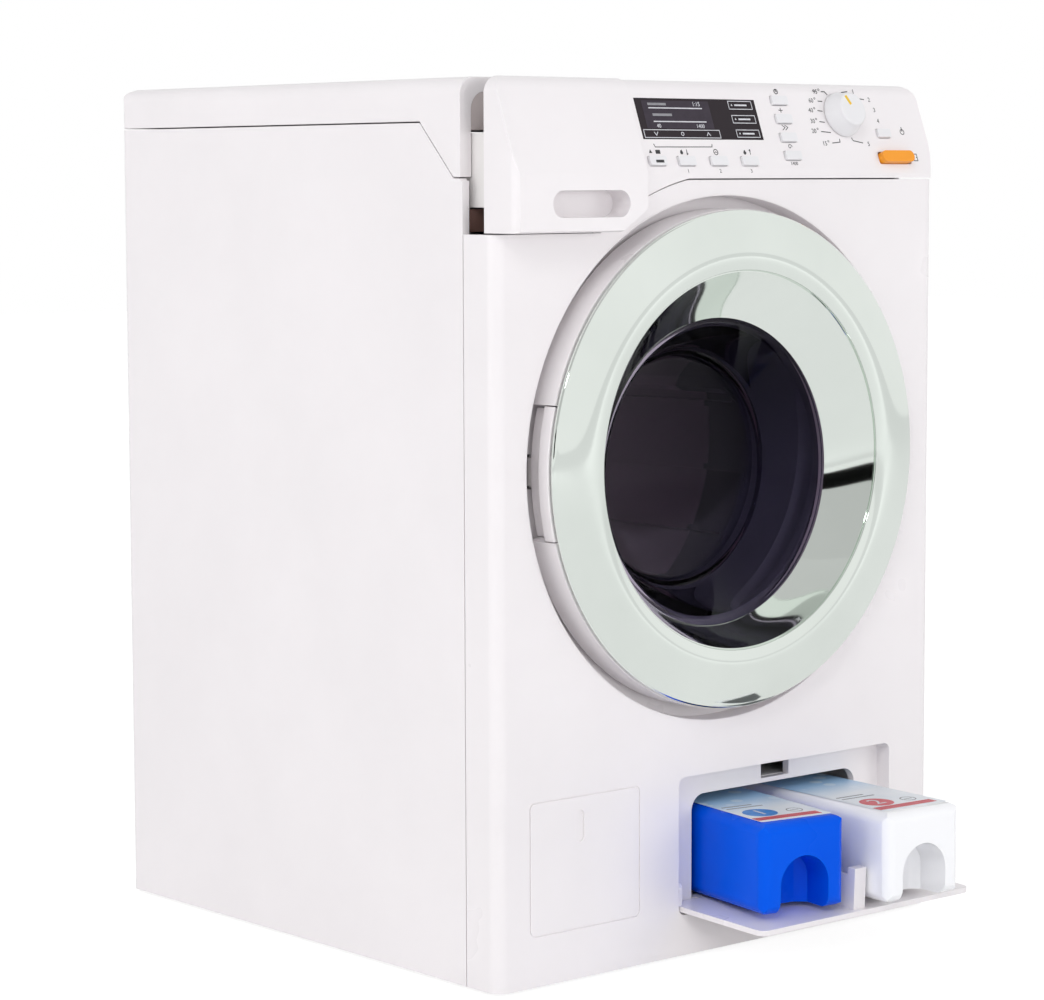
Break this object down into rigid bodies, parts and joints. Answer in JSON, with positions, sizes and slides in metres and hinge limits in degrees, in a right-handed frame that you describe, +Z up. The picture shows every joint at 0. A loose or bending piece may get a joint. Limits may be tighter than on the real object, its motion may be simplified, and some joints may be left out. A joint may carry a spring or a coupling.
{
  "type": "toy washing machine",
  "caption": "Toy front-loading washing machine with a hinged round door, turning drum, dial, keys, sliding drawer, and a flap with refill bottles.",
  "frame": {"origin": "on the floor, under the middle of the whole toy as it stands with its bottles drawn out", "axes": "+Z up, -Y towards the front with the door, +X to the right seen from the front"},
  "size_m": [0.18, 0.2294, 0.26],
  "materials": {
    "shell_white": "semi-gloss",
    "panel_white": "semi-gloss",
    "trim_chrome": "mirror-bright vacuum metallised plastic",
    "smoked_glass": "clear, smoked",
    "seal_grey": "matt",
    "drum_silver": "satin",
    "tub_grey": "matt",
    "inner_white": "matt",
    "display_dark": "gloss",
    "board_green": "satin",
    "part_black": "matt",
    "battery_grey": "matt",
    "steel": "bright zinc",
    "bronze": "sintered",
    "gear_ivory": "matt",
    "key_white": "satin",
    "key_orange": "satin",
    "pointer_yellow": "satin",
    "bottle_blue": "gloss",
    "bottle_white": "gloss",
    "pad_grey": "matt"
  },
  "bodies": {
    "root": {"base_plate": "inner_white", "foot_pads": "pad_grey", "housing": "shell_white", "rear_cover": "shell_white", "battery_box": "battery_grey", "battery_contacts": "steel", "battery_cover": "shell_white", "rear_screws": "steel", "base_screws": "steel", "top_cover": "shell_white", "front_panel": "panel_white", "door_hinge_bracket": "inner_white", "door_seal": "seal_grey", "tub": "tub_grey", "bearing_bush": "bronze", "motor": "steel", "motor_bracket": "steel", "control_fascia": "panel_white", "display_window": "display_dark", "circuit_board": "board_green", "key_switches": "part_black", "drawer_runner": "inner_white", "bay_box": "inner_white", "speaker": "part_black"},
    "drum": {"drum_shell": "drum_silver", "drum_paddles": "drum_silver", "drum_shaft": "steel", "drum_gear": "gear_ivory"},
    "pinion": {"motor_pinion": "bronze"},
    "door": {"door_frame": "panel_white", "door_ring": "trim_chrome", "door_funnel": "trim_chrome", "door_glass": "smoked_glass", "door_handle": "panel_white", "door_hook": "inner_white", "door_hinge_pin": "steel"},
    "drawer": {"drawer_front": "panel_white", "drawer_tray": "inner_white", "drawer_insert": "inner_white"},
    "dial": {"dial": "key_white", "dial_pointer": "pointer_yellow", "dial_shaft": "part_black"},
    "flap": {"bay_flap": "panel_white"},
    "bottle_one": {"bottle_one": "bottle_blue", "bottle_cap_one": "bottle_white"},
    "bottle_two": {"bottle_two": "bottle_white", "bottle_cap_two": "bottle_blue"},
    "key_start": {"key_start": "key_white"},
    "key_fill": {"key_fill": "key_white"},
    "key_wash": {"key_wash": "key_white"},
    "key_drain": {"key_drain": "key_white"},
    "key_timer": {"key_timer": "key_white"},
    "key_extra": {"key_extra": "key_white"},
    "key_short": {"key_short": "key_white"},
    "key_spin": {"key_spin": "key_white"},
    "key_lock": {"key_lock": "key_white"},
    "door_key": {"door_key": "key_orange"}
  },
  "joints": [
    {"name": "drum_spin", "type": "hinge", "parent": "root", "child": "drum", "pos_m": [-0.0005, 0, 0.1485], "axis": [0, 1, 0], "continuous": true},
    {"name": "pinion_spin", "type": "hinge", "parent": "root", "child": "pinion", "pos_m": [-0.0005, 0.06, 0.1109], "axis": [0, 1, 0], "continuous": true},
    {"name": "door_open", "type": "hinge", "parent": "root", "child": "door", "pos_m": [0.07, -0.073, 0.1485], "axis": [0, 0, 1], "range_deg": [0, 95]},
    {"name": "drawer_slide", "type": "slide", "parent": "root", "child": "drawer", "axis": [0, -1, 0], "range_m": [-0.009, 0.036]},
    {"name": "dial_turn", "type": "hinge", "parent": "root", "child": "dial", "pos_m": [0.0537, -0.06499, 0.25042], "axis": [0, -0.9367, 0.3502], "continuous": true},
    {"name": "flap_turn", "type": "hinge", "parent": "root", "child": "flap", "pos_m": [0.026, -0.0682, 0.0166], "axis": [-1, 0, 0], "range_deg": [0, 1.5]},
    {"name": "bottle_one_slide", "type": "slide", "parent": "root", "child": "bottle_one", "axis": [-0.165, -0.9863, 0], "range_m": [-0.015, 0.025]},
    {"name": "bottle_two_slide", "type": "slide", "parent": "root", "child": "bottle_two", "axis": [-0.0698, -0.9976, 0], "range_m": [-0.03, 0.025]},
    {"name": "key_start_press", "type": "slide", "parent": "root", "child": "key_start", "axis": [0, 0.9367, -0.3502], "range_m": [0, 0.0008], "stiffness_N_per_m": 200, "springref_m": -0.0005},
    {"name": "key_fill_press", "type": "slide", "parent": "root", "child": "key_fill", "axis": [0, 0.9367, -0.3502], "range_m": [0, 0.0008], "stiffness_N_per_m": 200, "springref_m": -0.0005},
    {"name": "key_wash_press", "type": "slide", "parent": "root", "child": "key_wash", "axis": [0, 0.9367, -0.3502], "range_m": [0, 0.0008], "stiffness_N_per_m": 200, "springref_m": -0.0005},
    {"name": "key_drain_press", "type": "slide", "parent": "root", "child": "key_drain", "axis": [0, 0.9367, -0.3502], "range_m": [0, 0.0008], "stiffness_N_per_m": 200, "springref_m": -0.0005},
    {"name": "key_timer_press", "type": "slide", "parent": "root", "child": "key_timer", "axis": [0, 0.9367, -0.3502], "range_m": [0, 0.0008], "stiffness_N_per_m": 200, "springref_m": -0.0005},
    {"name": "key_extra_press", "type": "slide", "parent": "root", "child": "key_extra", "axis": [0, 0.9367, -0.3502], "range_m": [0, 0.0008], "stiffness_N_per_m": 200, "springref_m": -0.0005},
    {"name": "key_short_press", "type": "slide", "parent": "root", "child": "key_short", "axis": [0, 0.9367, -0.3502], "range_m": [0, 0.0008], "stiffness_N_per_m": 200, "springref_m": -0.0005},
    {"name": "key_spin_press", "type": "slide", "parent": "root", "child": "key_spin", "axis": [0, 0.9367, -0.3502], "range_m": [0, 0.0008], "stiffness_N_per_m": 200, "springref_m": -0.0005},
    {"name": "key_lock_press", "type": "slide", "parent": "root", "child": "key_lock", "axis": [0, 0.9367, -0.3502], "range_m": [0, 0.0008], "stiffness_N_per_m": 200, "springref_m": -0.0005},
    {"name": "door_key_press", "type": "slide", "parent": "root", "child": "door_key", "axis": [0, 0.9367, -0.3502], "range_m": [0, 0.0008], "stiffness_N_per_m": 200, "springref_m": -0.0005}
  ],
  "couplings": [
    {"joint": "pinion_spin", "follows": "drum_spin", "ratio": -4}
  ]
}
